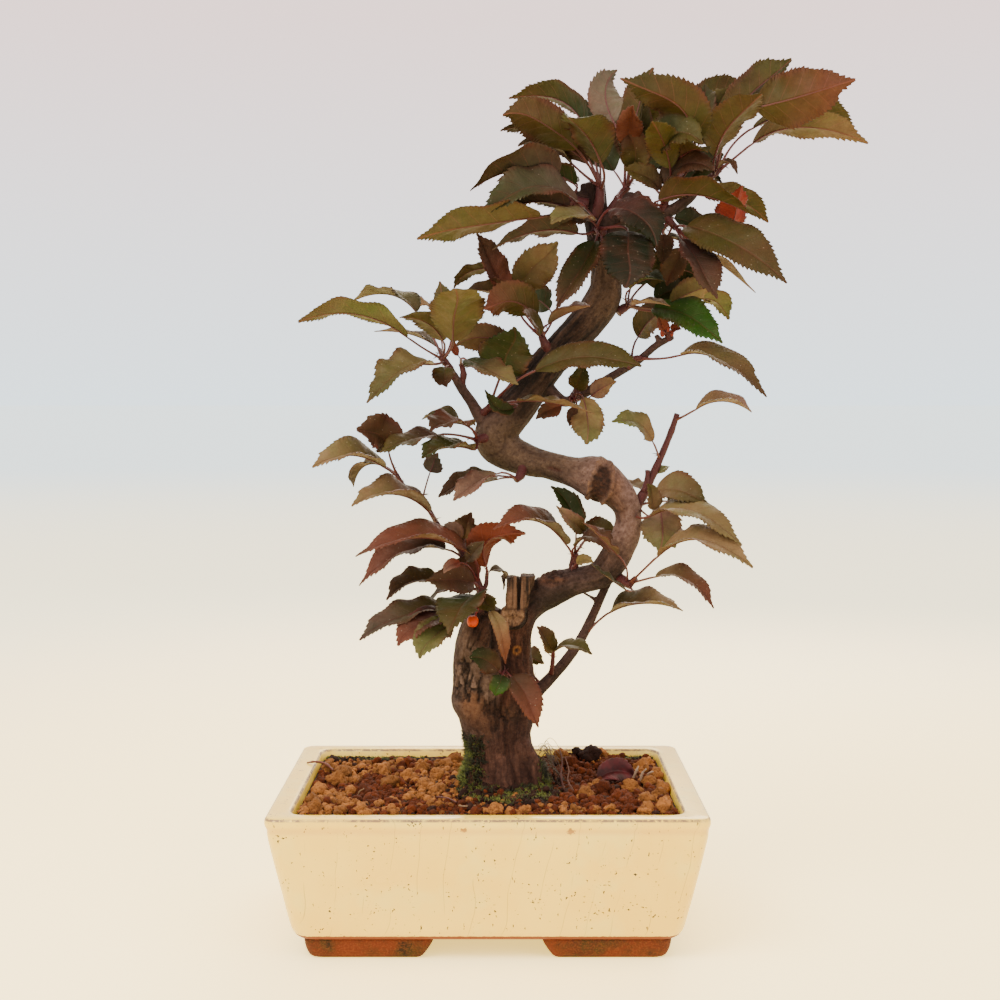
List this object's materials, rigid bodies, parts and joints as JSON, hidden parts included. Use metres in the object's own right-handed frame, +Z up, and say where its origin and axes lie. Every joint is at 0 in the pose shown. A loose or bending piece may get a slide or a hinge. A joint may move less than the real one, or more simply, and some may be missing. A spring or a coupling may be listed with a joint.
{
  "type": "apple bonsai",
  "caption": "Crab apple bonsai with a bent flaking trunk and bronze-green toothed leaves, rooted in granular soil in a cream glazed rectangular pot on angle feet.",
  "frame": {"origin": "on the ground under the middle of the bounding box of the whole plant and pot", "axes": "+Z up, +Y away from someone who looks at the tree's front, +X to that person's right"},
  "size_m": [0.2554, 0.121, 0.3797],
  "materials": {
    "glaze": "glossy cream glaze with fine craze lines, orange-brown bare clay feet",
    "net": "matte mesh",
    "soil": "damp granules of fired clay, with moss",
    "bark": "rough flaking bark, smoother on the young branches",
    "spray_crown_right": "satin leaf with matt underside",
    "spray_crown_middle": "satin leaf with matt underside",
    "spray_crown_high": "satin leaf with matt underside",
    "spray_crown_left": "satin leaf with matt underside",
    "spray_side_stub": "satin leaf with matt underside",
    "spray_leader": "satin leaf with matt underside",
    "spray_right_upper": "satin leaf with matt underside",
    "spray_leader_right": "satin leaf with matt underside",
    "spray_branch_right": "satin leaf with matt underside",
    "spur_with_buds": "satin leaf with matt underside",
    "spray_spur_right": "satin leaf with matt underside",
    "spray_spur_trunk": "satin leaf with matt underside",
    "spray_branch_left": "satin leaf with matt underside",
    "spray_left_fork": "satin leaf with matt underside",
    "spray_small_arm": "satin leaf with matt underside",
    "spray_left_turn": "satin leaf with matt underside",
    "spray_under": "satin leaf with matt underside",
    "shoot_right": "satin leaf with matt underside",
    "spray_bend": "satin leaf with matt underside",
    "spray_mid_spur": "satin leaf with matt underside",
    "leaf_long_shoot_upper": "satin leaf with matt underside",
    "leaf_long_shoot_lower": "satin leaf with matt underside",
    "leaf_behind_trunk": "satin leaf with matt underside",
    "spray_trunk": "satin leaf with matt underside",
    "shoot_left": "satin leaf with matt underside",
    "fruit": "smooth skin",
    "dry_leaf": "dry curled leaf"
  },
  "bodies": {
    "root": {"pot": "glaze", "drain_net_1": "net", "drain_net_2": "net", "soil": "soil", "trunk": "bark", "spray_crown_right": "spray_crown_right", "spray_crown_middle": "spray_crown_middle", "spray_crown_high": "spray_crown_high", "spray_crown_left": "spray_crown_left", "spray_side_stub": "spray_side_stub", "spray_leader": "spray_leader", "spray_right_upper": "spray_right_upper", "spray_leader_right": "spray_leader_right", "spray_branch_right": "spray_branch_right", "spur_with_buds": "spur_with_buds", "spray_spur_right": "spray_spur_right", "spray_spur_trunk": "spray_spur_trunk", "spray_branch_left": "spray_branch_left", "spray_left_fork": "spray_left_fork", "spray_small_arm": "spray_small_arm", "spray_left_turn": "spray_left_turn", "spray_under": "spray_under", "shoot_right": "shoot_right", "spray_bend": "spray_bend", "spray_mid_spur": "spray_mid_spur", "leaf_long_shoot_upper": "leaf_long_shoot_upper", "leaf_long_shoot_lower": "leaf_long_shoot_lower", "leaf_behind_trunk": "leaf_behind_trunk", "spray_trunk": "spray_trunk", "shoot_left": "shoot_left", "fruit": "fruit", "fallen_leaf": "dry_leaf"}
  },
  "joints": []
}
